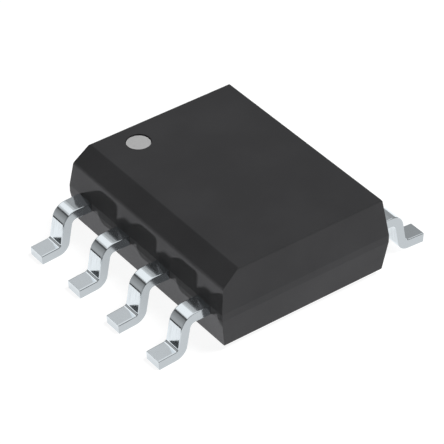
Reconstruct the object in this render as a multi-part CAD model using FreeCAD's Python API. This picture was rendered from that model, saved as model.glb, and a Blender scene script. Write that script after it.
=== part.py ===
import FreeCAD, Part
import math
import os

# An eight-lead small-outline chip package, resting on the tips of its gull-wing leads.
# X runs across the two rows of leads, Y along the moulding, Z up from the seating plane.
# Lead 1 is at -X and +Y, beside the mark and under the long chamfer of the -X side.
# Lengths are in millimetres and angles in degrees.

# Moulding
body_length = 4.90          # over the two plain ends, at the belt
body_width = 3.86           # over the two lead sides, at the belt
overall_height = 1.75       # seating plane to top face
standoff = 0.10             # seating plane to underside
belt_top = 0.93             # seating plane to the upper edge of the belt, flush with the leads
belt_height = 0.16          # upright band where the two halves of the mould met
side_draft = 8.0            # slope of the lead sides
end_draft = 6.5             # slope of the plain ends
chamfer_width = 0.33        # long chamfer over leads 1 to 4, measured on the top face
chamfer_height = 0.30       # the same chamfer, measured down the side
chamfer_round = 0.10        # radius where the chamfer runs out into the side
edge_round = 0.04           # radius of the other outer edges
ejector_diameter = 1.00     # round pin mark in the underside
ejector_depth = 0.03

# Lead 1 mark
mark_diameter = 0.50
mark_from_end = 0.60        # centre of the mark from the +Y end, at the belt
mark_from_side = 1.22       # centre of the mark from the -X side, at the belt
mark_depth = 0.045          # depth of its round recess
ink_thickness = 0.015
ink_margin = 0.01           # between the ink and the wall of the recess

# Leads outside the moulding
leads_per_side = 4
lead_pitch = 1.27
lead_width = 0.40
lead_thickness = 0.20
lead_span = 6.20            # over the tips of two opposite feet
foot_length = 0.38          # straight sole, from its tip to the heel bend
foot_angle = 4.0            # rise of the sole from its tip to the heel
riser_lean = 11.0           # lean of the upright part towards the moulding
heel_radius = 0.07          # inside of the heel bend
shoulder_radius = 0.12      # inside of the shoulder bend

# Lead fingers inside the moulding
anchor_depth = 0.14         # from the side of the moulding to the anchor wings
anchor_length = 0.16        # size of the wings along X
anchor_width = 0.62         # size over both wings along Y
knee_depth = 0.36           # from the side of the moulding to where a finger turns inwards
tip_pitch = 1.00            # spacing of the finger tips along Y
tip_width = 0.34
finger_gap = 0.20           # finger tips to the paddle

# Paddle that carries the die
paddle_length = 2.50
paddle_width = 1.90
paddle_downset = 0.20       # drop of the paddle below the fingers
tie_bar_width = 0.30
tie_bar_root = 0.16         # flat stretch beside the paddle before a tie bar rises
tie_bar_ramp = 0.26         # length of the rise along Y
tie_bar_radius = 0.05       # inside of the bends in a tie bar
tie_bar_cover = 0.12        # moulding that hides the end of a tie bar

# Die and its adhesive
die_length = 1.70
die_width = 1.20
die_thickness = 0.25
glue_thickness = 0.025
glue_margin = 0.07          # adhesive squeezed out beside the die

# Bond wires
wire_diameter = 0.038
ball_diameter = 0.085
ball_height = 0.035
pad_pitch = 0.40            # spacing of the bond pads along Y
pad_inset = 0.09            # pad centre from the long edge of the die
loop_height = 0.15          # top of a loop above the die
loop_reach = 0.55           # part of the way over which a loop stays high
loop_drop = 0.03            # fall of the loop over that way
loop_kink = 0.05            # cut across the sharp turn at the top of a loop
stitch_inset = 0.12         # stitch centre from the end of a finger
stitch_length = 0.14
stitch_width = 0.08
stitch_thickness = 0.012

# Places worked out from the sizes
finger_top = belt_top
finger_middle = belt_top - lead_thickness / 2
paddle_top = finger_top - paddle_downset
die_bottom = paddle_top + glue_thickness
die_top = die_bottom + die_thickness
side_x = body_width / 2
tip_x = paddle_width / 2 + finger_gap
spare = 1.0                 # how far a cutting tool reaches past what it cuts
MITRED = 1                  # corner style of a pipe along a path with sharp turns


def vector(x, y, z):
    return FreeCAD.Vector(x, y, z)


def box(low, high):
    """A box between two corners."""
    size = [b - a for a, b in zip(low, high)]
    return Part.makeBox(*size, vector(*low))


def direction(angle):
    """Unit vector in the XZ plane, at an angle up from +X."""
    return vector(math.cos(math.radians(angle)), 0, math.sin(math.radians(angle)))


def half_turned(shape):
    """A copy turned half a turn about the vertical axis, onto the other side of the package."""
    copy = shape.copy()
    copy.rotate(vector(0, 0, 0), vector(0, 0, 1), 180)
    return copy


def lead_y(number):
    """Place along Y of leads 1 to 4, counted from the +Y end."""
    return ((leads_per_side + 1) / 2 - number) * lead_pitch


def bend(before, corner, after, radius):
    """Arc of a path at a corner: its two ends, its middle and its centre."""
    arrive = (corner - before).normalize()
    leave = (after - corner).normalize()
    turn = arrive.getAngle(leave)
    start = corner - arrive * radius * math.tan(turn / 2)
    end = corner + leave * radius * math.tan(turn / 2)
    inwards = (leave - arrive).normalize()
    centre = corner + inwards * radius / math.cos(turn / 2)
    middle = centre - inwards * radius
    return start, middle, end, centre


def strip_side(corners, inner_radii, thickness, side):
    """Edges, first point and last point of one side of a bent strip in the XZ plane.

    side is +1 for the left of the path and -1 for its right.
    """
    ends = [corners[0]]
    arcs = []
    for index, inner in enumerate(inner_radii, start=1):
        start, middle, end, centre = bend(*corners[index - 1:index + 2], inner + thickness / 2)
        arcs.append((middle, centre))
        ends += [start, end]
    ends.append(corners[-1])
    runs = []
    for first, last in zip(ends[0::2], ends[1::2]):
        along = (last - first).normalize()
        shift = vector(-along.z, 0, along.x) * side * thickness / 2
        runs.append((first + shift, last + shift))
    edges = [Part.LineSegment(*run).toShape() for run in runs]
    for (middle, centre), before, after in zip(arcs, runs, runs[1:]):
        radius = (before[1] - centre).Length
        crown = centre + (middle - centre).normalize() * radius
        edges.append(Part.Arc(before[1], crown, after[0]).toShape())
    return edges, runs[0][0], runs[-1][1]


def bent_strip(corners, inner_radii, thickness, width):
    """Sheet metal bent along a path in the XZ plane, centred on Y = 0."""
    upper, upper_first, upper_last = strip_side(corners, inner_radii, thickness, 1)
    lower, lower_first, lower_last = strip_side(corners, inner_radii, thickness, -1)
    caps = [
        Part.LineSegment(upper_first, lower_first).toShape(),
        Part.LineSegment(upper_last, lower_last).toShape(),
    ]
    outline = Part.Wire(Part.__sortEdges__(upper + lower + caps))
    section = Part.Face(outline)
    section.translate(vector(0, -width / 2, 0))
    return section.extrude(vector(0, width, 0))


def section_wire(z, half_x, half_y):
    """Rectangle at a height, as a closed wire."""
    corners = [(-half_x, -half_y), (half_x, -half_y), (half_x, half_y), (-half_x, half_y)]
    points = [vector(x, y, z) for x, y in corners]
    return Part.makePolygon(points + points[:1])


def moulding_outside():
    """Outer form of the moulding: two drafted halves that meet at an upright belt."""
    belt_bottom = belt_top - belt_height
    sections = []
    for z in (standoff, belt_bottom, belt_top, overall_height):
        away = max(belt_bottom - z, z - belt_top, 0)
        half_x = side_x - away * math.tan(math.radians(side_draft))
        half_y = body_length / 2 - away * math.tan(math.radians(end_draft))
        sections.append(section_wire(z, half_x, half_y))
    return Part.makeLoft(sections, True, True)


def chamfer_tool():
    """Prism that cuts the long chamfer off the upper edge of the -X side."""
    rise = overall_height - belt_top
    slope = math.tan(math.radians(side_draft))
    top_x = -side_x + rise * slope + chamfer_width
    low_z = overall_height - chamfer_height
    low_x = -side_x + (low_z - belt_top) * slope
    run = vector(top_x - low_x, 0, overall_height - low_z).normalize() * spare
    low = vector(low_x, 0, low_z) - run
    high = vector(top_x, 0, overall_height) + run
    outline = Part.makePolygon([low, high, vector(low.x, 0, high.z), low])
    prism = Part.Face(outline).extrude(vector(0, body_length + 2 * spare, 0))
    prism.translate(vector(0, -body_length / 2 - spare, 0))
    return prism


def is_at_height(edge, z):
    return all(abs(vertex.Z - z) < 1e-6 for vertex in edge.Vertexes)


def rounded(shape):
    """Rounds every outer edge but the two obtuse ones along the belt."""
    low_z = overall_height - chamfer_height
    chamfer_edges = [edge for edge in shape.Edges if is_at_height(edge, low_z)]
    shape = shape.makeFillet(chamfer_round, chamfer_edges)
    belt_levels = (belt_top, belt_top - belt_height)
    outer = []
    for edge in shape.Edges:
        on_belt = any(is_at_height(edge, level) for level in belt_levels)
        flat = is_at_height(edge, overall_height) or is_at_height(edge, standoff)
        if flat and not on_belt:
            outer.append(edge)
    return shape.makeFillet(edge_round, outer)


def mark_place(z):
    """Centre of the lead 1 mark at a height."""
    return vector(-side_x + mark_from_side, body_length / 2 - mark_from_end, z)


def pin_one_mark():
    """Thin disc of ink on the floor of the recess."""
    floor = overall_height - mark_depth
    return Part.makeCylinder(mark_diameter / 2 - ink_margin, ink_thickness, mark_place(floor))


def mark_recess():
    return Part.makeCylinder(mark_diameter / 2, mark_depth + spare, mark_place(overall_height - mark_depth))


def ejector_recess():
    return Part.makeCylinder(ejector_diameter / 2, ejector_depth + spare, vector(0, 0, standoff - spare))


def gull_wing():
    """Outer part of a lead of the -X side, at Y = 0: foot, riser and shoulder in one bent strip."""
    foot = direction(foot_angle)
    riser = direction(90 - riser_lean)
    across_foot = vector(-foot.z, 0, foot.x)
    sole_tip = vector(-lead_span / 2 - lead_thickness * across_foot.x, 0, 0)
    tip = sole_tip + across_foot * lead_thickness / 2
    heel_turn = math.radians(90 - riser_lean - foot_angle)
    heel_reach = (heel_radius + lead_thickness / 2) * math.tan(heel_turn / 2)
    heel = tip + foot * (foot_length + heel_reach)
    shoulder = heel + riser * ((finger_middle - heel.z) / riser.z)
    wall = vector(-side_x, 0, finger_middle)
    return bent_strip([tip, heel, shoulder, wall], [heel_radius, shoulder_radius], lead_thickness, lead_width)


def finger(number):
    """Inner part of a lead of the -X side, lying flat in the moulding, with its anchor wings."""
    y = lead_y(number)
    tip_y = y * tip_pitch / lead_pitch
    knee_x = -side_x + knee_depth
    half = lead_width / 2
    outline = [
        (-side_x, y + half),
        (knee_x, y + half),
        (-tip_x, tip_y + tip_width / 2),
        (-tip_x, tip_y - tip_width / 2),
        (knee_x, y - half),
        (-side_x, y - half),
    ]
    low_z = finger_top - lead_thickness
    points = [vector(px, py, low_z) for px, py in outline]
    blade = Part.Face(Part.makePolygon(points + points[:1])).extrude(vector(0, 0, lead_thickness))
    wings = box(
        (-side_x + anchor_depth, y - anchor_width / 2, low_z),
        (-side_x + anchor_depth + anchor_length, y + anchor_width / 2, finger_top),
    )
    return blade.fuse(wings)


def lead(number):
    """One whole lead; leads 5 to 8 are leads 1 to 4 turned half a turn."""
    if number > leads_per_side:
        return half_turned(lead(number - leads_per_side))
    outside = gull_wing()
    outside.translate(vector(0, lead_y(number), 0))
    return outside.fuse(finger(number)).removeSplitter()


def tie_bar():
    """Bent bar from the +Y edge of the paddle up to the level of the fingers."""
    low = paddle_top - lead_thickness / 2
    root = paddle_length / 2
    rise_from = root + tie_bar_root
    rise_to = rise_from + tie_bar_ramp
    end = body_length / 2 - tie_bar_cover
    corners = [
        vector(root, 0, low),
        vector(rise_from, 0, low),
        vector(rise_to, 0, finger_middle),
        vector(end, 0, finger_middle),
    ]
    bar = bent_strip(corners, [tie_bar_radius, tie_bar_radius], lead_thickness, tie_bar_width)
    bar.rotate(vector(0, 0, 0), vector(0, 0, 1), 90)
    return bar


def die_paddle():
    """Plate under the die, with the two tie bars that held it in its frame."""
    plate = box(
        (-paddle_width / 2, -paddle_length / 2, paddle_top - lead_thickness),
        (paddle_width / 2, paddle_length / 2, paddle_top),
    )
    bar = tie_bar()
    return plate.fuse([bar, half_turned(bar)]).removeSplitter()


def die_attach():
    """Adhesive between the paddle and the die."""
    half_x = die_width / 2 + glue_margin
    half_y = die_length / 2 + glue_margin
    return box((-half_x, -half_y, paddle_top), (half_x, half_y, die_bottom))


def silicon_die():
    return box((-die_width / 2, -die_length / 2, die_bottom), (die_width / 2, die_length / 2, die_top))


def ball_bond(place):
    """Ball squashed into a thick disc on its pad."""
    return Part.makeCylinder(ball_diameter / 2, ball_height, place)


def stitch_bond(place, angle):
    """Wire end squashed onto the finger: a thin plate with a point at each end, lying along the wire."""
    tip = stitch_length / 2
    shoulder = stitch_length / 4
    half = stitch_width / 2
    outline = [(-tip, 0), (-shoulder, -half), (shoulder, -half), (tip, 0), (shoulder, half), (-shoulder, half)]
    points = [vector(x, y, 0) for x, y in outline]
    pad = Part.Face(Part.makePolygon(points + points[:1])).extrude(vector(0, 0, stitch_thickness))
    pad.rotate(vector(0, 0, 0), vector(0, 0, 1), angle)
    pad.translate(place)
    return pad


def wire_loop(reach):
    """Wire over a distance along +X, from inside its ball down through the face of the finger."""
    foot = vector(0, 0, die_top + ball_height / 2)
    crest_z = die_top + loop_height
    knee = vector(reach * loop_reach, 0, crest_z - loop_drop)
    end = vector(reach, 0, finger_top)
    past = end + (end - knee).normalize() * wire_diameter
    path = Part.makePolygon([foot, vector(0, 0, crest_z - loop_kink), vector(loop_kink, 0, crest_z), knee, past])
    circle = Part.Wire(Part.makeCircle(wire_diameter / 2, foot, vector(0, 0, 1)))
    tube = path.makePipeShell([circle], True, False, MITRED)
    buried = box((-spare, -spare, finger_top - spare), (reach + spare, spare, finger_top))
    return tube.cut(buried)


def bond_wire(number):
    """Wire from a pad on the die to the finger of the lead with the same number."""
    if number > leads_per_side:
        return half_turned(bond_wire(number - leads_per_side))
    y = lead_y(number)
    pad = vector(-die_width / 2 + pad_inset, y * pad_pitch / lead_pitch, die_top)
    stitch = vector(-tip_x - stitch_inset, y * tip_pitch / lead_pitch, finger_top)
    away = vector(stitch.x - pad.x, stitch.y - pad.y, 0)
    angle = math.degrees(math.atan2(away.y, away.x))
    loop = wire_loop(away.Length)
    loop.rotate(vector(0, 0, 0), vector(0, 0, 1), angle)
    loop.translate(vector(pad.x, pad.y, 0))
    return loop.fuse([ball_bond(pad), stitch_bond(stitch, angle)]).removeSplitter()


def mould_body(enclosed):
    """Moulding with exact room for everything that it encloses."""
    outside = rounded(moulding_outside().cut(chamfer_tool()))
    return outside.cut([mark_recess(), ejector_recess()] + enclosed)


numbers = range(1, 2 * leads_per_side + 1)
pieces = {f"lead_{number}": lead(number) for number in numbers}
pieces["die_paddle"] = die_paddle()
pieces["die_attach"] = die_attach()
pieces["silicon_die"] = silicon_die()
for number in numbers:
    pieces[f"bond_wire_{number}"] = bond_wire(number)
pieces["mould_body"] = mould_body(list(pieces.values()))
pieces["pin_one_mark"] = pin_one_mark()

os.makedirs("parts", exist_ok=True)
for name, shape in pieces.items():
    shape.exportStep(f"parts/{name}.step")
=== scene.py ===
import math

import bpy
import numpy as np
from bpy.props import FloatProperty, FloatVectorProperty, IntProperty, PointerProperty
from bpy.types import Operator, Panel, PropertyGroup
from mathutils import Matrix, Vector


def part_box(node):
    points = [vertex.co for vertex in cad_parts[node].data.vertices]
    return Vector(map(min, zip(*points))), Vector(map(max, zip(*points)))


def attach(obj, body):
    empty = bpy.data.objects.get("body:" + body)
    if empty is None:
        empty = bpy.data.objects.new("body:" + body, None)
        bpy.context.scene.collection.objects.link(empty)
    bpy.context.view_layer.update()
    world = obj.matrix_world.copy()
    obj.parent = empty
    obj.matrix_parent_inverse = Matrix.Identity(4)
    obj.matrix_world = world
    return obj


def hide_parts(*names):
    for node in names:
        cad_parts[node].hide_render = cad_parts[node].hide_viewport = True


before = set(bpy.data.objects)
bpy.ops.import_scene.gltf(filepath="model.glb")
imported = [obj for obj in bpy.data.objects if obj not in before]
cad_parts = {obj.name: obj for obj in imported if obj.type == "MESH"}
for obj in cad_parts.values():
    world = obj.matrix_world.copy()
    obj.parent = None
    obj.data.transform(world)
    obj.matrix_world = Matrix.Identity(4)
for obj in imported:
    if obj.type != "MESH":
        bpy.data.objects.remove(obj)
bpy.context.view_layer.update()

# Finishes of an eight-lead small-outline chip package, and the stage it is shown on.
# The frame is in metres: X across the two rows of leads, Y along the moulding, Z up from the seating plane.
# Leads 1 to 4 are on the -X side, counted from +Y; leads 5 to 8 are their half turn about Z.

bl_info = {
    "name": "Chip package finishes",
    "version": (1, 0, 0),
    "blender": (4, 5, 0),
    "location": "View3D > Sidebar > Chip package",
    "description": "Moulding compound, plated leads and a white stage for a small-outline chip package",
    "category": "Object",
}

MM = 0.001
PER_MM = 1 / MM
BODY = "root"
LEADS_PER_SIDE = 4
LEADS = range(1, 2 * LEADS_PER_SIDE + 1)
MOULD_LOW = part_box("mould_body")[0]
LEAD_LOW, LEAD_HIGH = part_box("lead_1")
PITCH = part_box("lead_2")[1].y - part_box("lead_3")[1].y

# Steps of a lead's surface along its parts and round each corner of its section
TOE_STEPS = 3
SOLE_STEPS = 4
HEEL_STEPS = 14
RISER_STEPS = 3
SHOULDER_STEPS = 16
FLAT_STEPS = 3
CORNER_STEPS = 4

# The radius of a lead's edges fades before the moulding, over EDGE_FADE times the rolled edge,
# and inside it is the share INNER_EDGE of the full one, so that the leads fill their pockets
EDGE_FADE = 16
INNER_EDGE = 0.25

# How much of the sheared sides' look a cut end has: partly their real sheared finish, partly painted shade
# that darkens the toe
END_SHEAR_AND_SHADE = 0.35

FLOOR_RINGS = 12
FLOOR_STEPS = 96

# The painted reflection card's shares of its height and, at each, its share of the walls' level: dark and
# bright glowing bands that only the leads' mirrors show
CARD_TONES = (
    (0.000, 0.15), (0.105, 0.15), (0.115, 1.14), (0.26, 1.21),
    (0.43, 0.95), (0.68, 0.68), (0.76, 0.25), (1.000, 0.25),
)

# The studio, by the sine of the elevation: where the walls fade to the white horizon, where they end,
# the eaves with their shares of the eaves' level, and where the ceiling begins
WALL_FOOT = (0.10, 0.08)
WALL_TOP = 0.575
EAVES_TONES = ((0.605, 0.9), (0.643, 1.12), (0.685, 0.98))
CEILING_EDGE = 0.71

# Each lamp's setting, its spread in degrees and the direction in which its light travels
LAMPS = (
    ("overhead", 25, (-0.36, 0.27, -0.89)),
    ("side", 2, (0.565, -0.673, 0.477)),
    ("front", 15, (0.17, 0.33, 0.93)),
)


# Settings that a user would change

class MouldSettings(PropertyGroup):
    colour: FloatVectorProperty(
        name="Colour", description="Dark grey of the moulding compound",
        subtype="COLOR", size=3, min=0, max=1, default=(0.050, 0.050, 0.052),
    )
    roughness: FloatProperty(
        name="Roughness", description="Roughness of the moulded faces",
        subtype="FACTOR", min=0, max=1, default=0.62,
    )
    gloss: FloatProperty(
        name="Gloss", description="Strength of the resin's reflections",
        subtype="FACTOR", min=0, max=1, default=0.12,
    )
    grain_size: FloatProperty(
        name="Grain size", description="Size of the spark-eroded texture of the mould faces",
        unit="LENGTH", subtype="DISTANCE", min=0, precision=6, default=0.045 * MM,
    )
    grain_height: FloatProperty(
        name="Grain height", description="Height of that texture",
        unit="LENGTH", subtype="DISTANCE", min=0, precision=6, default=0.0012 * MM,
    )


class MarkSettings(PropertyGroup):
    colour: FloatVectorProperty(
        name="Colour", description="Pale grey of the marking ink",
        subtype="COLOR", size=3, min=0, max=1, default=(0.57, 0.57, 0.57),
    )


class LeadSettings(PropertyGroup):
    tin_colour: FloatVectorProperty(
        name="Tin", description="Plating on the formed part of the leads",
        subtype="COLOR", size=3, min=0, max=1, default=(0.80, 0.86, 0.90),
    )
    tin_roughness: FloatProperty(
        name="Tin roughness", description="Roughness of the plating",
        subtype="FACTOR", min=0, max=1, default=0.10,
    )
    # Partly real sheared finish, partly painted shade: the sides' plating is darkened in colour so that their
    # reflections read dimmer
    sheared_and_shade_tone: FloatProperty(
        name="Sheared tone", description="How bright the plating is on the sheared sides",
        subtype="FACTOR", min=0, max=1, default=0.61,
    )
    # Painted shade: a darker tone of the plating in streaks on the riser, so that its reflection reads dimmer
    riser_shade_tone: FloatProperty(
        name="Pressed tone", description="How bright the plating is where the forming tool held the riser",
        subtype="FACTOR", min=0, max=1, default=0.78,
    )
    width: FloatProperty(
        name="Width", description="Width of a lead outside the moulding",
        unit="LENGTH", subtype="DISTANCE", min=0, precision=6, default=0.40 * MM,
    )
    thickness: FloatProperty(
        name="Thickness", description="Thickness of the sheet",
        unit="LENGTH", subtype="DISTANCE", min=0, precision=6, default=0.20 * MM,
    )
    foot_length: FloatProperty(
        name="Foot length", description="Straight sole from its tip to the heel bend",
        unit="LENGTH", subtype="DISTANCE", min=0, precision=6, default=0.38 * MM,
    )
    foot_angle: FloatProperty(
        name="Foot angle", description="Rise of the sole from its tip to the heel",
        unit="ROTATION", subtype="ANGLE", default=math.radians(4),
    )
    riser_lean: FloatProperty(
        name="Riser lean", description="Lean of the upright part towards the moulding",
        unit="ROTATION", subtype="ANGLE", default=math.radians(11),
    )
    heel_radius: FloatProperty(
        name="Heel radius", description="Inside of the heel bend",
        unit="LENGTH", subtype="DISTANCE", min=0, precision=6, default=0.07 * MM,
    )
    shoulder_radius: FloatProperty(
        name="Shoulder radius", description="Inside of the shoulder bend",
        unit="LENGTH", subtype="DISTANCE", min=0, precision=6, default=0.12 * MM,
    )
    rolled_edge: FloatProperty(
        name="Rolled edge", description="Radius that the punch drew into the upper edges",
        unit="LENGTH", subtype="DISTANCE", min=0, precision=6, default=0.028 * MM,
    )
    cut_edge: FloatProperty(
        name="Cut edge", description="Radius of the plating over the lower edges",
        unit="LENGTH", subtype="DISTANCE", min=0, precision=6, default=0.012 * MM,
    )
    end_edge: FloatProperty(
        name="End edge", description="Radius round the toe",
        unit="LENGTH", subtype="DISTANCE", min=0, precision=6, default=0.008 * MM,
    )


class FingerSettings(PropertyGroup):
    anchor_depth: FloatProperty(
        name="Anchor depth", description="From the side of the moulding to the anchor wings",
        unit="LENGTH", subtype="DISTANCE", min=0, precision=6, default=0.14 * MM,
    )
    anchor_length: FloatProperty(
        name="Anchor length", description="Size of the wings across the package",
        unit="LENGTH", subtype="DISTANCE", min=0, precision=6, default=0.16 * MM,
    )
    anchor_width: FloatProperty(
        name="Anchor width", description="Size over both wings along the package",
        unit="LENGTH", subtype="DISTANCE", min=0, precision=6, default=0.62 * MM,
    )
    wing_slope: FloatProperty(
        name="Wing slope", description="How far the ends of the wings lean from square",
        unit="LENGTH", subtype="DISTANCE", min=0, precision=6, default=0.002 * MM,
    )
    knee_depth: FloatProperty(
        name="Knee depth", description="From the side of the moulding to where a finger turns inwards",
        unit="LENGTH", subtype="DISTANCE", min=0, precision=6, default=0.36 * MM,
    )
    tip_pitch: FloatProperty(
        name="Tip pitch", description="Spacing of the finger tips",
        unit="LENGTH", subtype="DISTANCE", min=0, precision=6, default=1.00 * MM,
    )
    tip_width: FloatProperty(
        name="Tip width", description="Width of a finger tip",
        unit="LENGTH", subtype="DISTANCE", min=0, precision=6, default=0.34 * MM,
    )


class InsideSettings(PropertyGroup):
    copper_colour: FloatVectorProperty(
        name="Copper", description="Bare copper alloy of the frame",
        subtype="COLOR", size=3, min=0, max=1, default=(0.62, 0.31, 0.19),
    )
    silver_colour: FloatVectorProperty(
        name="Silver", description="Silver spot plating on the finger tips",
        subtype="COLOR", size=3, min=0, max=1, default=(0.82, 0.82, 0.79),
    )
    adhesive_colour: FloatVectorProperty(
        name="Adhesive", description="Silver-filled epoxy under the die",
        subtype="COLOR", size=3, min=0, max=1, default=(0.38, 0.38, 0.37),
    )
    silicon_colour: FloatVectorProperty(
        name="Silicon", description="Dark face of the die",
        subtype="COLOR", size=3, min=0, max=1, default=(0.07, 0.08, 0.11),
    )
    gold_colour: FloatVectorProperty(
        name="Gold", description="Bond wires",
        subtype="COLOR", size=3, min=0, max=1, default=(0.90, 0.60, 0.22),
    )


class StageSettings(PropertyGroup):
    floor_colour: FloatVectorProperty(
        name="Floor", description="Colour of the floor",
        subtype="COLOR", size=3, min=0, max=1, default=(0.90, 0.90, 0.90),
    )
    floor_lift: FloatProperty(
        name="Floor lift", description="Share of plain white in the floor where it is seen",
        subtype="FACTOR", min=0, max=1, default=0.75,
    )
    floor_white: FloatProperty(
        name="Floor white", description="Level of that white",
        min=0, default=1.2,
    )
    floor_reach: FloatProperty(
        name="Floor reach", description="Radius of the floor",
        unit="LENGTH", subtype="DISTANCE", min=0.1, default=2.0,
    )
    card_gap: FloatProperty(
        name="Card gap", description="From the toes of leads 1 to 4 to the dark card that they mirror",
        unit="LENGTH", subtype="DISTANCE", min=0, precision=6, default=0.2 * MM,
    )
    card_foot: FloatProperty(
        name="Card foot", description="Height of that card's lower edge",
        unit="LENGTH", subtype="DISTANCE", min=0, precision=6, default=0.33 * MM,
    )
    card_top: FloatProperty(
        name="Card top", description="Height of that card's upper edge",
        unit="LENGTH", subtype="DISTANCE", min=0, precision=6, default=2.13 * MM,
    )
    card_length: FloatProperty(
        name="Card length", description="Length of that card along the package",
        unit="LENGTH", subtype="DISTANCE", min=0, precision=6, default=12 * MM,
    )
    overhead: FloatProperty(
        name="Overhead lamp", description="Level of the soft lamp above, as white paper facing it would show",
        min=0, default=0.745,
    )
    side: FloatProperty(
        name="Side lamp", description="Level of the hard lamp that shines up from beside lead 1",
        min=0, default=1.88,
    )
    front: FloatProperty(
        name="Front lamp", description="Level of the soft lamp that shines up from the lead 4 corner",
        min=0, default=1.10,
    )
    walls: FloatProperty(
        name="Walls", description="Level of the studio's walls, as mirrors show them",
        min=0, default=0.33,
    )
    eaves: FloatProperty(
        name="Eaves", description="Level where the walls meet the ceiling",
        min=0, default=0.55,
    )
    ceiling: FloatProperty(
        name="Ceiling", description="Level of the studio's ceiling",
        min=0, default=1.0,
    )
    fill: FloatProperty(
        name="Fill", description="Share of the walls' and the ceiling's level that lights matt faces",
        subtype="FACTOR", min=0, max=1, default=0.08,
    )
    ceiling_tilt: FloatProperty(
        name="Ceiling tilt", description="Lean of the ceiling towards the lead 1 side",
        unit="ROTATION", subtype="ANGLE", default=math.radians(4),
    )
    azimuth: FloatProperty(
        name="Azimuth", description="Where the camera stands round the part",
        unit="ROTATION", subtype="ANGLE", default=math.radians(-35.967),
    )
    elevation: FloatProperty(
        name="Elevation", description="How far above the horizon the camera stands",
        unit="ROTATION", subtype="ANGLE", default=math.radians(37.863),
    )
    roll: FloatProperty(
        name="Roll", description="Turn of the camera about its line of sight",
        unit="ROTATION", subtype="ANGLE", default=math.radians(-0.833),
    )
    distance: FloatProperty(
        name="Distance", description="From the camera to the point it looks at",
        unit="LENGTH", subtype="DISTANCE", min=0, precision=6, default=49.641 * MM,
    )
    target: FloatVectorProperty(
        name="Target", description="Point that the camera looks at",
        unit="LENGTH", subtype="TRANSLATION", size=3, precision=6,
        default=(0, 0.1703 * MM, 0.5219 * MM),
    )
    focal_pixels: FloatProperty(
        name="Focal length", description="Focal length in pixels of the square picture",
        min=1, default=2615.61,
    )
    picture_pixels: IntProperty(
        name="Picture side", description="Side of the square picture in pixels",
        min=1, default=444,
    )


# Shader nodes

class Value:
    """An output of a shader node; arithmetic on it adds Math nodes to the same tree."""

    def __init__(self, finish, link):
        self.finish = finish
        self.link = link

    def maths(self, operation, *values):
        return self.finish.node("ShaderNodeMath", {"operation": operation}, dict(enumerate(values)))

    def __add__(self, other):
        return self.maths("ADD", self, other)

    __radd__ = __add__

    def __sub__(self, other):
        return self.maths("SUBTRACT", self, other)

    def __rsub__(self, other):
        return self.maths("SUBTRACT", other, self)

    def __mul__(self, other):
        return self.maths("MULTIPLY", self, other)

    def __abs__(self):
        return self.maths("ABSOLUTE", self)

    def swing(self, amount):
        """How far the value lies above or below 0.5, times an amount."""
        return (self - 0.5) * amount

    def step(self, low, high):
        """0 below low, 1 above high and a smooth rise between them, or a fall where high is below low."""
        return self.finish.node(
            "ShaderNodeMapRange", {"interpolation_type": "SMOOTHSTEP"},
            {"Value": self, "From Min": low, "From Max": high, "To Min": 0.0, "To Max": 1.0},
        )


class Finish:
    """Node tree of a material or of the world, emptied and filled again."""

    def __init__(self, owner):
        owner.use_nodes = True
        self.tree = owner.node_tree
        self.tree.nodes.clear()

    def node(self, kind, settings=None, sockets=None, output=0):
        """Adds a node: its settings first, then the values or links of its sockets."""
        made = self.tree.nodes.new(kind)
        for name, value in (settings or {}).items():
            if name == "stops":
                self.fill_ramp(made.color_ramp.elements, value)
            else:
                setattr(made, name, value)
        for name, value in (sockets or {}).items():
            if isinstance(value, Value):
                self.tree.links.new(value.link, made.inputs[name])
            else:
                made.inputs[name].default_value = value
        return Value(self, made.outputs[output]) if made.outputs else None

    @staticmethod
    def fill_ramp(elements, stops):
        """Puts pairs of a position and a grey level on a colour ramp."""
        elements.remove(elements[1])
        elements[0].position = stops[0][0]
        for position, _ in stops[1:]:
            elements.new(position)
        for element, (_, level) in zip(elements, stops):
            element.color = (level, level, level, 1.0)

    def place(self):
        """Object coordinates in millimetres."""
        metres = self.node("ShaderNodeTexCoord", output="Object")
        return self.node("ShaderNodeVectorMath", {"operation": "SCALE"}, {0: metres, "Scale": PER_MM})

    def parts(self, vector):
        """The X, Y and Z of a vector."""
        made = self.node("ShaderNodeSeparateXYZ", sockets={"Vector": vector})
        return [Value(self, output) for output in made.link.node.outputs]

    def stretched(self, vector, scale):
        """A vector with its X, Y and Z multiplied, to draw a pattern out along one of them."""
        return self.node("ShaderNodeVectorMath", {"operation": "MULTIPLY"}, {0: vector, 1: scale})

    def noise(self, vector, scale, detail=2.0):
        """Smooth noise about 0.5, with its scale per millimetre."""
        return self.node("ShaderNodeTexNoise", {}, {"Vector": vector, "Scale": scale, "Detail": detail})

    def mix(self, share, first, second):
        """First colour where the share is 0, second where it is 1."""
        return self.node("ShaderNodeMix", {"data_type": "RGBA"}, {0: share, 6: first, 7: second}, output=2)

    def mottled(self, share, colour, dark, light):
        """A colour times one factor where the share is 0, times the other where it is 1."""
        return self.mix(share, shade(colour, dark), shade(colour, light))

    def bump(self, height, distance):
        return self.node("ShaderNodeBump", {}, {"Height": height, "Distance": distance})

    def surface(self, **sockets):
        """Principled shader as the surface, its sockets named with underscores for spaces."""
        named = {name.replace("_", " "): value for name, value in sockets.items()}
        self.output(self.node("ShaderNodeBsdfPrincipled", {}, named))

    def output(self, shader, kind="ShaderNodeOutputMaterial"):
        self.node(kind, {}, {"Surface": shader})


def shade(colour, by=1.0):
    """A colour with its opacity, made lighter or darker."""
    return tuple(min(channel * by, 1.0) for channel in colour) + (1.0,)


def dress(node_names, material):
    """Puts one material on every slot of some nodes."""
    for name in node_names:
        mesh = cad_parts[name].data
        mesh.materials.clear()
        mesh.materials.append(material)


def new_object(name, data):
    made = bpy.data.objects.new(name, data)
    bpy.context.scene.collection.objects.link(made)
    return made


# Formed leads

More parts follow.
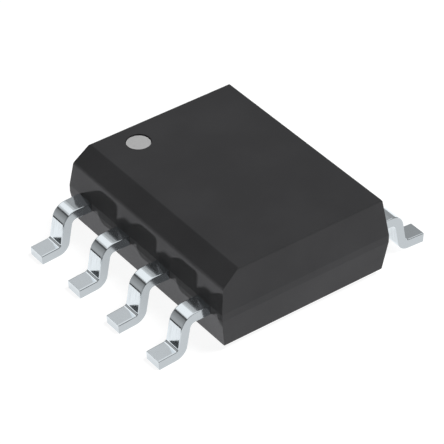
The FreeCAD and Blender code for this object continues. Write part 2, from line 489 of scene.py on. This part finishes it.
def straight(start, angle, lengths, insets=0.0):
    """Stations at some distances from a point along an angle: X, Z, angle and inset of the section."""
    lengths = np.asarray(lengths, float)
    return np.stack([
        start[0] + lengths * math.cos(angle),
        start[1] + lengths * math.sin(angle),
        np.full_like(lengths, angle),
        np.broadcast_to(insets, lengths.shape),
    ], axis=1)


def curved(start, first, last, radius, steps):
    """Stations of a bend whose angle turns from first to last about a centre one radius to the side."""
    angles = np.linspace(first, last, steps + 1)[1:]
    side = math.copysign(radius, last - first)
    return np.stack([
        start[0] + side * (np.sin(angles) - math.sin(first)),
        start[1] - side * (np.cos(angles) - math.cos(first)),
        angles,
        np.zeros(steps),
    ], axis=1)


def rounding(radius, steps):
    """Quarter circle round an end: distances from the end face and insets of the section."""
    turn = np.linspace(math.pi / 2, 0, steps + 1)
    return radius * (1 - np.sin(turn)), radius * (1 - np.cos(turn))


def lead_stations(lead, finger, number):
    """Centre line of a lead of the -X side: X, Z, angle, inset, Y and half width at each station.

    The foot, the heel bend, the riser and the shoulder bend lie in one plane at the lead's Y.
    The finger inside the moulding lies flat, with a step out and back at its anchor wings,
    and from its knee it runs slantwise to its tip.
    """
    half = lead.thickness / 2
    foot, riser = lead.foot_angle, math.pi / 2 - lead.riser_lean
    toe_end = (LEAD_LOW.x + half * math.sin(foot), half * math.cos(foot))
    toe = straight(toe_end, foot, *rounding(lead.end_edge, TOE_STEPS))
    sole = straight(toe_end, foot, np.linspace(lead.end_edge, lead.foot_length, SOLE_STEPS + 1)[1:])
    heel = curved(sole[-1], foot, riser, lead.heel_radius + half, HEEL_STEPS)
    shoulder_reach = lead.shoulder_radius + half
    middle = LEAD_HIGH.z - half
    rise = (middle - shoulder_reach * (1 - math.cos(riser)) - heel[-1, 1]) / math.sin(riser)
    upright = straight(heel[-1], riser, np.linspace(0, rise, RISER_STEPS + 1)[1:])
    shoulder = curved(upright[-1], riser, 0.0, shoulder_reach, SHOULDER_STEPS)
    outer = np.linspace(shoulder[-1, 0], MOULD_LOW.x, FLAT_STEPS + 1)[1:]
    wing, knee, last = MOULD_LOW.x + finger.anchor_depth, MOULD_LOW.x + finger.knee_depth, LEAD_HIGH.x
    wing_end = wing + finger.anchor_length
    widest = (wing + finger.wing_slope, wing_end - finger.wing_slope)
    flat = straight((0.0, middle), 0.0, [*outer, wing, *widest, wing_end, knee, last])
    stations = np.vstack([toe, sole, heel, upright, shoulder, flat])

    y = ((LEADS_PER_SIDE + 1) / 2 - number) * PITCH
    share = np.clip((stations[:, 0] - knee) / (last - knee), 0, 1)
    centre = y * (1 - share) + y * finger.tip_pitch / PITCH * share
    width = lead.width * (1 - share) + finger.tip_width * share
    width[np.isin(stations[:, 0], widest)] = finger.anchor_width
    return np.column_stack([stations, centre, width / 2])


def columns_of(stations):
    """X, Z, angle, inset, Y and half width of the stations, each as a column."""
    return (column[:, None] for column in stations.T)


def lead_sections(lead, stations):
    """Angle t of the points round the section, and their places across the lead and square to the sheet.

    At a station the section is a rectangle with rounded corners: each corner's points lie at
    its centre plus (radius - inset) * (cos t, sin t).
    The radius is the edge's own at the foot and fades towards the moulding to a share of it.
    """
    x, _, _, inset, _, half_width = columns_of(stations)
    quarter = np.linspace(0, math.pi / 2, CORNER_STEPS + 1)
    turn = (quarter + np.arange(4)[:, None] * math.pi / 2).ravel()
    radius = np.repeat([lead.rolled_edge, lead.rolled_edge, lead.cut_edge, lead.cut_edge], CORNER_STEPS + 1)
    radius = radius * np.clip((MOULD_LOW.x - x) / (EDGE_FADE * lead.rolled_edge), INNER_EDGE, 1)
    right = np.repeat([1, -1, -1, 1], CORNER_STEPS + 1)
    upper = np.repeat([1, 1, -1, -1], CORNER_STEPS + 1)
    across = right * (half_width - radius) + (radius - inset) * np.cos(turn)
    square = upper * (lead.thickness / 2 - radius) + (radius - inset) * np.sin(turn)
    return turn, across, square


def at_corners(values):
    """Values of the four corners of each face between two stations."""
    along, after = values[:-1], values[1:]
    return np.stack([along, np.roll(along, -1, 1), np.roll(after, -1, 1), after], axis=2)


def lead_normals(lead, stations, turn, points):
    """Normals at the corners of the faces along a lead, then at those of its two ends.

    A normal is (cos t, sin t) in the section, leant along the lead where the toe is rounded.
    Inside the moulding each face has its own normal, from the cross product of its diagonals.
    """
    x, _, angle, inset, _, _ = columns_of(stations)
    forward = np.concatenate([np.cos(angle), 0 * angle, np.sin(angle)], axis=1)[:, None, :]
    outward = np.stack(np.broadcast_arrays(
        -np.sin(angle) * np.sin(turn), np.cos(turn), np.cos(angle) * np.sin(turn),
    ), axis=-1)
    lean = -np.arccos(1 - inset / lead.end_edge)[:, :, None]
    normals = at_corners(outward * np.cos(lean) + forward * np.sin(lean))
    corners = at_corners(points)
    own = np.cross(corners[:, :, 2] - corners[:, :, 0], corners[:, :, 3] - corners[:, :, 1])
    own = own / np.linalg.norm(own, axis=-1, keepdims=True)
    inside = x[:-1, 0] > MOULD_LOW.x - lead.end_edge
    normals[inside] = own[inside][:, :, None]
    end_normals = np.repeat([-forward[0], forward[-1]], len(turn), axis=0)
    return np.vstack([normals.reshape(-1, 3), end_normals.reshape(-1, 3)])


def add_lead_layers(mesh, lead, stations, turn, across, square):
    """Map coordinates and attributes for the plating.

    The map coordinates hold the distance along the lead and round the section in millimetres.
    The attribute "side" is 1 on the sheared sides, 0 on the rolled faces and between them on
    the cut ends. Another attribute is 1 on the riser's faces, where painted shade darkens the plating.
    """
    rows, columns = across.shape
    lengths = np.hypot(np.diff(stations[:, 0]), np.diff(stations[:, 1]))
    along = np.concatenate([[0], np.cumsum(lengths)])
    full_section = np.stack([across[TOE_STEPS], square[TOE_STEPS]], axis=1)
    pieces = np.linalg.norm(np.roll(full_section, -1, 0) - full_section, axis=1)
    before = np.concatenate([[0], np.cumsum(pieces)])
    u = np.stack([along[:-1], along[:-1], along[1:], along[1:]], axis=1)[:, None, :]
    v = np.stack([before[:-1], before[1:], before[1:], before[:-1]], axis=1)[None, :, :]
    spots = np.stack(np.broadcast_arrays(u, v), axis=-1).reshape(-1, 2) * PER_MM
    layer = mesh.uv_layers.new(name="along")
    layer.data.foreach_set("uv", np.vstack([spots, np.zeros((2 * columns, 2))]).ravel())
    sheared = np.tile(np.abs(np.cos(turn)), (rows, 1))
    # Mask of the riser's faces, where painted shade darkens the plating
    on_riser = np.isclose(stations[:, 2], math.pi / 2 - lead.riser_lean)
    pressed = on_riser[:, None] * (1 - sheared)
    for label, values, on_ends in (("side", sheared, END_SHEAR_AND_SHADE), ("pressed", pressed, 0.0)):
        made = mesh.attributes.new(label, "FLOAT", "CORNER")
        made.data.foreach_set("value", np.append(at_corners(values), np.full(2 * columns, on_ends)))


def lead_mesh(name, lead, finger, number):
    """Rounded section carried along a lead's centre line and closed at both ends.

    At a station with the angle a, a point of the section lies at X - sin a * square, Y + across
    and Z + cos a * square. Leads 5 to 8 have X and Y of leads 1 to 4 with the signs changed.
    """
    turned = number > LEADS_PER_SIDE
    stations = lead_stations(lead, finger, number - LEADS_PER_SIDE if turned else number)
    x, z, angle, _, y, _ = columns_of(stations)
    turn, across, square = lead_sections(lead, stations)
    points = np.stack([x - np.sin(angle) * square, y + across, z + np.cos(angle) * square], axis=-1)
    normals = lead_normals(lead, stations, turn, points)
    if turned:
        points = points * (-1, -1, 1)
        normals = normals * (-1, -1, 1)
    rows, columns = across.shape
    faces = at_corners(np.arange(rows * columns).reshape(rows, columns)).reshape(-1, 4)
    ends = [list(range(columns - 1, -1, -1)), list(range((rows - 1) * columns, rows * columns))]
    mesh = bpy.data.meshes.new(name)
    mesh.from_pydata(points.reshape(-1, 3).tolist(), [], faces.tolist() + ends)
    mesh.shade_smooth()
    mesh.normals_split_custom_set(normals.tolist())
    add_lead_layers(mesh, lead, stations, turn, across, square)
    return mesh


# Materials

def mould_material(settings):
    """Filled epoxy: cloudy dark grey with a fine eroded grain."""
    material = bpy.data.materials.new("moulding compound")
    finish = Finish(material)
    place = finish.place()
    cloud = finish.noise(place, scale=0.8, detail=3.0).step(0.3, 0.7)
    grain = finish.noise(place, scale=MM / settings.grain_size, detail=3.0)
    cloud_share = 0.45
    tone = cloud * cloud_share + grain * (1 - cloud_share)
    finish.surface(
        Base_Color=finish.mottled(tone, settings.colour, dark=0.86, light=1.14),
        Roughness=settings.roughness + grain.swing(0.25),
        Specular_IOR_Level=settings.gloss,
        Normal=finish.bump(grain, settings.grain_height),
    )
    return material


def ink_material(settings, mould_colour):
    """Matt printing ink, thin in spots so that the compound shows through a little."""
    material = bpy.data.materials.new("marking ink")
    finish = Finish(material)
    place = finish.place()
    mottle = finish.noise(place, scale=14.0, detail=3.0)
    thin = mottle.step(0.32, 0.18)
    most_shown = 0.6
    ink = finish.mottled(mottle, settings.colour, dark=0.92, light=1.08)
    finish.surface(
        Base_Color=finish.mix(thin * most_shown, ink, shade(mould_colour)),
        Roughness=0.6 + mottle * 0.2,
        Specular_IOR_Level=0.3,
        Normal=finish.bump(mottle, distance=0.003 * MM),
    )
    return material


def lead_material(settings, inside):
    """Tin outside the moulding, bare copper inside it, silver on the finger tips."""
    material = bpy.data.materials.new("tinned copper lead")
    finish = Finish(material)
    place = finish.place()
    across = abs(finish.parts(place)[0])
    wall = -MOULD_LOW.x * PER_MM
    wall_blur = 0.01
    outside = across.step(wall - wall_blur, wall + wall_blur)
    spot_length = 0.40
    spot_end = spot_length - LEAD_HIGH.x * PER_MM
    spot_blur = 0.02
    silver_spot = across.step(spot_end + spot_blur, spot_end - spot_blur)
    side, pressed = (
        finish.node("ShaderNodeAttribute", {"attribute_name": name}, output="Fac")
        for name in ("side", "pressed")
    )
    along = finish.node("ShaderNodeUVMap", {"uv_map": "along"})
    cloud = finish.noise(place, scale=2.5, detail=3.0)
    grain = finish.noise(place, scale=38.0)
    shear = finish.noise(finish.stretched(along, (40.0, 1.5, 1.0)), scale=1.0)
    streaks = finish.noise(finish.stretched(along, (3.0, 30.0, 1.0)), scale=1.0, detail=3.0)
    tin = finish.mottled(cloud, settings.tin_colour, dark=0.95, light=1.04)
    # Darker plating on the sheared sides and cut ends: partly their real sheared finish, partly painted shade
    # standing for dimmer reflections
    tin = finish.mix(side, tin, shade(settings.tin_colour, settings.sheared_and_shade_tone))
    # Painted shade: the riser's plating darkened in streaks so that its reflection reads dimmer
    tin = finish.mix(pressed * streaks.step(0.9, 0.1), tin, shade(settings.tin_colour, settings.riser_shade_tone))
    frame_colour = finish.mix(silver_spot, shade(inside.copper_colour), shade(inside.silver_colour))
    finish.surface(
        Base_Color=finish.mix(outside, frame_colour, tin),
        Metallic=1.0,
        Roughness=settings.tin_roughness + cloud.swing(0.08) + side * 0.03 + pressed * 0.03,
        Normal=finish.bump(grain * (1 - side) + shear * side, distance=0.0002 * MM),
    )
    return material


def metal_material(name, colour, roughness, scale):
    """Bare metal with slow patches of tone and a fine grain."""
    material = bpy.data.materials.new(name)
    finish = Finish(material)
    place = finish.place()
    patches = finish.noise(place, scale, detail=3.0)
    grain = finish.noise(place, scale * 12)
    finish.surface(
        Base_Color=finish.mottled(patches, colour, dark=0.85, light=1.1),
        Metallic=1.0,
        Roughness=roughness + patches.swing(0.2),
        Normal=finish.bump(grain, distance=0.0008 * MM),
    )
    return material


def adhesive_material(colour):
    """Epoxy full of silver flakes."""
    material = bpy.data.materials.new("silver epoxy")
    finish = Finish(material)
    place = finish.place()
    flakes = finish.node("ShaderNodeTexVoronoi", {}, {"Vector": place, "Scale": 34.0})
    bright = flakes.step(0.35, 0.1)
    finish.surface(
        Base_Color=finish.mottled(bright, colour, dark=0.7, light=1.5),
        Metallic=bright * 0.8,
        Roughness=0.55 - bright * 0.25,
        Normal=finish.bump(flakes, distance=0.002 * MM),
    )
    return material


def silicon_material(colour):
    """Polished die face with blocks and fine lines of circuitry in several tones."""
    material = bpy.data.materials.new("silicon")
    finish = Finish(material)
    place = finish.place()
    blocks = finish.node(
        "ShaderNodeTexVoronoi", {"distance": "CHEBYCHEV"}, {"Vector": place, "Scale": 5.0}, output="Color",
    )
    block_tone = finish.parts(blocks)[0]
    wires = finish.noise(finish.stretched(place, (60.0, 4.0, 4.0)), scale=1.0, detail=1.0).step(0.45, 0.55)
    block_share = 0.7
    tone = block_tone * block_share + wires * (1 - block_share)
    finish.surface(
        Base_Color=finish.mottled(tone, colour, dark=0.7, light=1.9),
        Metallic=0.7,
        Roughness=0.22 + wires * 0.15,
    )
    return material


# Stage

def disc_mesh(name, radius, rings, steps):
    """Flat disc: a point at share s of the radius and angle t lies at radius * s * (cos t, sin t).

    The shares are the cubes of even steps, so the rings stand closer together towards the middle.
    """
    reach = radius * np.linspace(0, 1, rings + 1)[1:, None] ** 3
    turn = np.linspace(0, 2 * math.pi, steps, endpoint=False)[None, :]
    points = np.stack([reach * np.cos(turn), reach * np.sin(turn), 0 * reach * turn], axis=-1)
    vertices = np.vstack([np.zeros((1, 3)), points.reshape(-1, 3)])
    here = np.arange(steps)
    after = (here + 1) % steps
    inner = 1 + steps * np.arange(rings - 1)[:, None]
    quads = np.stack([inner + here, inner + steps + here, inner + steps + after, inner + after], axis=-1)
    middle = np.stack([0 * here, 1 + here, 1 + after], axis=-1)
    mesh = bpy.data.meshes.new(name)
    mesh.from_pydata(vertices.tolist(), [], middle.tolist() + quads.reshape(-1, 4).tolist())
    return mesh


def seen_directly(finish):
    """1 for what the camera, a reflection or a clear body shows, 0 for light that only falls on things."""
    path = finish.node("ShaderNodeLightPath")
    outputs = path.link.node.outputs
    camera, glossy, through = (
        Value(finish, outputs[name]) for name in ("Is Camera Ray", "Is Glossy Ray", "Is Transmission Ray")
    )
    return camera.maths("MAXIMUM", camera, glossy.maths("MAXIMUM", glossy, through))


def floor_material(settings):
    """Matt pale floor, lifted to white where it is seen and keeping the shadow."""
    material = bpy.data.materials.new("pale floor")
    finish = Finish(material)
    matt = finish.node("ShaderNodeBsdfDiffuse", {}, {"Color": shade(settings.floor_colour)})
    white = finish.node(
        "ShaderNodeEmission", {}, {"Color": shade((1, 1, 1)), "Strength": settings.floor_white},
    )
    lift = seen_directly(finish) * settings.floor_lift
    finish.output(finish.node("ShaderNodeMixShader", {}, {0: lift, 1: matt, 2: white}))
    return material


def card_mesh(name, x, length, low, high):
    """Upright plane: a point at shares s and t lies at (x, length * (s - 0.5), low + (high - low) * t)."""
    y, z = np.meshgrid(np.linspace(-0.5, 0.5, 2) * length, np.linspace(low, high, 2))
    points = np.stack([np.full(4, x), y.ravel(), z.ravel()], axis=1)
    mesh = bpy.data.meshes.new(name)
    mesh.from_pydata(points.tolist(), [], [[0, 1, 3, 2]])
    return mesh


def card_material(level, low, high):
    """Painted reflection: a grey card glowing at the walls' level, darker at its foot and towards its top,
    that only the leads' reflections show.
    """
    material = bpy.data.materials.new("dark card")
    finish = Finish(material)
    rise = (finish.parts(finish.place())[2] - low * PER_MM) * (MM / (high - low))
    stops = [(share, tone * level) for share, tone in CARD_TONES]
    tone = finish.node("ShaderNodeValToRGB", {"stops": stops}, {"Fac": rise})
    finish.output(finish.node("ShaderNodeEmission", {}, {"Color": tone}))
    return material


def add_card(settings):
    """Painted reflection: a glowing grey card beside leads 1 to 4 that only mirrors show, putting dark and
    light bands on the leads; it neither lights nor shades the part.
    """
    x = LEAD_LOW.x - settings.card_gap
    low, high = settings.card_foot, settings.card_top
    card = new_object("dark_card", card_mesh("dark_card", x, settings.card_length, low, high))
    card.data.materials.append(card_material(settings.walls, low, high))
    card.visible_camera = False
    card.visible_diffuse = False
    card.visible_shadow = False


def add_sun(name, level, spread, towards):
    """Lamp of parallel light, softened by an angle, that shines along a direction and isn't mirrored."""
    data = bpy.data.lights.new(name, "SUN")
    data.energy = math.pi * level
    data.angle = math.radians(spread)
    lamp = new_object(name, data)
    lamp.rotation_euler = Vector(towards).to_track_quat("-Z", "Y").to_euler()
    lamp.visible_glossy = False


def add_camera(settings):
    """Camera on its azimuth and elevation round the target, rolled about its line of sight.

    It shows what lies between a twentieth of its distance and twice the width of the floor.
    """
    azimuth, elevation = settings.azimuth, settings.elevation
    back = Vector((
        math.sin(azimuth) * math.cos(elevation),
        -math.cos(azimuth) * math.cos(elevation),
        math.sin(elevation),
    ))
    level = Vector((math.cos(azimuth), math.sin(azimuth), 0))
    upright = back.cross(level)
    right = level * math.cos(settings.roll) + upright * math.sin(settings.roll)
    up = back.cross(right)
    data = bpy.data.cameras.new("camera")
    data.sensor_width = 36
    data.lens = settings.focal_pixels / settings.picture_pixels * data.sensor_width
    data.clip_start = settings.distance / 20
    data.clip_end = 4 * settings.floor_reach
    camera = new_object("camera", data)
    turned = Matrix((right, up, back)).transposed().to_4x4()
    camera.matrix_world = Matrix.Translation(Vector(settings.target) + back * settings.distance) @ turned
    bpy.context.scene.camera = camera


def light_world(settings):
    """Plain studio all round: white at the horizon, dimmer walls above it and a bright ceiling.

    The level depends on the sine of the elevation, the ceiling's on that of an axis a little off upright.
    """
    world = bpy.data.worlds.new("studio")
    bpy.context.scene.world = world
    finish = Finish(world)
    across, _, up = finish.parts(finish.node("ShaderNodeTexCoord", output="Generated"))
    horizon = up.step(*WALL_FOOT)
    tilted = up * math.cos(settings.ceiling_tilt) - across * math.sin(settings.ceiling_tilt)
    stops = [
        (WALL_TOP, settings.walls),
        *((sine, tone * settings.eaves) for sine, tone in EAVES_TONES),
        (CEILING_EDGE, settings.ceiling),
    ]
    level = finish.node("ShaderNodeValToRGB", {"stops": stops}, {"Fac": tilted})
    seen = finish.mix(horizon, level, shade((1, 1, 1)))
    strength = settings.fill + seen_directly(finish) * (1 - settings.fill)
    background = finish.node("ShaderNodeBackground", {}, {"Color": seen, "Strength": strength})
    finish.output(background, "ShaderNodeOutputWorld")


# Operators

class CHIP_OT_mould_body(Operator):
    """Gives the moulding its compound"""
    bl_idname = "chip.mould_body"
    bl_label = "Moulding"

    def execute(self, context):
        dress(["mould_body"], mould_material(context.scene.chip_mould))
        return {"FINISHED"}


class CHIP_OT_pin_one_mark(Operator):
    """Gives the lead 1 mark its ink"""
    bl_idname = "chip.pin_one_mark"
    bl_label = "Lead 1 mark"

    def execute(self, context):
        scene = context.scene
        dress(["pin_one_mark"], ink_material(scene.chip_mark, scene.chip_mould.colour))
        return {"FINISHED"}


class CHIP_OT_leads(Operator):
    """Makes the eight leads with their rolled edges and their plating"""
    bl_idname = "chip.leads"
    bl_label = "Leads"

    def execute(self, context):
        scene = context.scene
        plating = lead_material(scene.chip_lead, scene.chip_inside)
        for number in LEADS:
            name = f"formed_lead_{number}"
            piece = new_object(name, lead_mesh(name, scene.chip_lead, scene.chip_finger, number))
            piece.data.materials.append(plating)
            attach(piece, BODY)
            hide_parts(f"lead_{number}")
        return {"FINISHED"}


class CHIP_OT_die_paddle(Operator):
    """Gives the die paddle its bare copper"""
    bl_idname = "chip.die_paddle"
    bl_label = "Die paddle"

    def execute(self, context):
        copper = context.scene.chip_inside.copper_colour
        dress(["die_paddle"], metal_material("bare copper", copper, roughness=0.35, scale=1.5))
        return {"FINISHED"}


class CHIP_OT_die_attach(Operator):
    """Gives the adhesive under the die its silver flakes"""
    bl_idname = "chip.die_attach"
    bl_label = "Die adhesive"

    def execute(self, context):
        dress(["die_attach"], adhesive_material(context.scene.chip_inside.adhesive_colour))
        return {"FINISHED"}


class CHIP_OT_silicon_die(Operator):
    """Gives the die its polished face"""
    bl_idname = "chip.silicon_die"
    bl_label = "Die"

    def execute(self, context):
        dress(["silicon_die"], silicon_material(context.scene.chip_inside.silicon_colour))
        return {"FINISHED"}


class CHIP_OT_bond_wires(Operator):
    """Gives the eight bond wires their gold"""
    bl_idname = "chip.bond_wires"
    bl_label = "Bond wires"

    def execute(self, context):
        gold = context.scene.chip_inside.gold_colour
        wires = [f"bond_wire_{number}" for number in LEADS]
        dress(wires, metal_material("gold wire", gold, roughness=0.25, scale=8.0))
        return {"FINISHED"}


class CHIP_OT_stage(Operator):
    """Makes the floor, the painted reflection card, the lamps, the world and the camera"""
    bl_idname = "chip.stage"
    bl_label = "Stage"

    def execute(self, context):
        settings = context.scene.chip_stage
        floor = new_object("floor", disc_mesh("floor", settings.floor_reach, FLOOR_RINGS, FLOOR_STEPS))
        floor.data.materials.append(floor_material(settings))
        floor.visible_shadow = False
        add_card(settings)
        for name, spread, towards in LAMPS:
            add_sun(f"{name} lamp", getattr(settings, name), spread, towards)
        light_world(settings)
        add_camera(settings)
        context.scene.view_settings.view_transform = "Standard"
        return {"FINISHED"}


STEPS = (
    CHIP_OT_mould_body,
    CHIP_OT_pin_one_mark,
    CHIP_OT_leads,
    CHIP_OT_die_paddle,
    CHIP_OT_die_attach,
    CHIP_OT_silicon_die,
    CHIP_OT_bond_wires,
    CHIP_OT_stage,
)
GROUPS = {
    "chip_mould": MouldSettings,
    "chip_mark": MarkSettings,
    "chip_lead": LeadSettings,
    "chip_finger": FingerSettings,
    "chip_inside": InsideSettings,
    "chip_stage": StageSettings,
}


class CHIP_PT_package(Panel):
    """Lists the settings and the steps"""
    bl_idname = "CHIP_PT_package"
    bl_label = "Chip package"
    bl_space_type = "VIEW_3D"
    bl_region_type = "UI"
    bl_category = "Chip package"

    def draw(self, context):
        for name, group in GROUPS.items():
            box = self.layout.box()
            for setting in group.__annotations__:
                box.prop(getattr(context.scene, name), setting)
        for step in STEPS:
            self.layout.operator(step.bl_idname)


def register():
    for made in (*GROUPS.values(), *STEPS, CHIP_PT_package):
        bpy.utils.register_class(made)
    for name, group in GROUPS.items():
        setattr(bpy.types.Scene, name, PointerProperty(type=group))


def unregister():
    for name in GROUPS:
        delattr(bpy.types.Scene, name)
    for made in reversed((*GROUPS.values(), *STEPS, CHIP_PT_package)):
        bpy.utils.unregister_class(made)


def main():
    """Runs every step in order."""
    register()
    bpy.ops.chip.mould_body()
    bpy.ops.chip.pin_one_mark()
    bpy.ops.chip.leads()
    bpy.ops.chip.die_paddle()
    bpy.ops.chip.die_attach()
    bpy.ops.chip.silicon_die()
    bpy.ops.chip.bond_wires()
    bpy.ops.chip.stage()


if __name__ == "__main__":
    main()
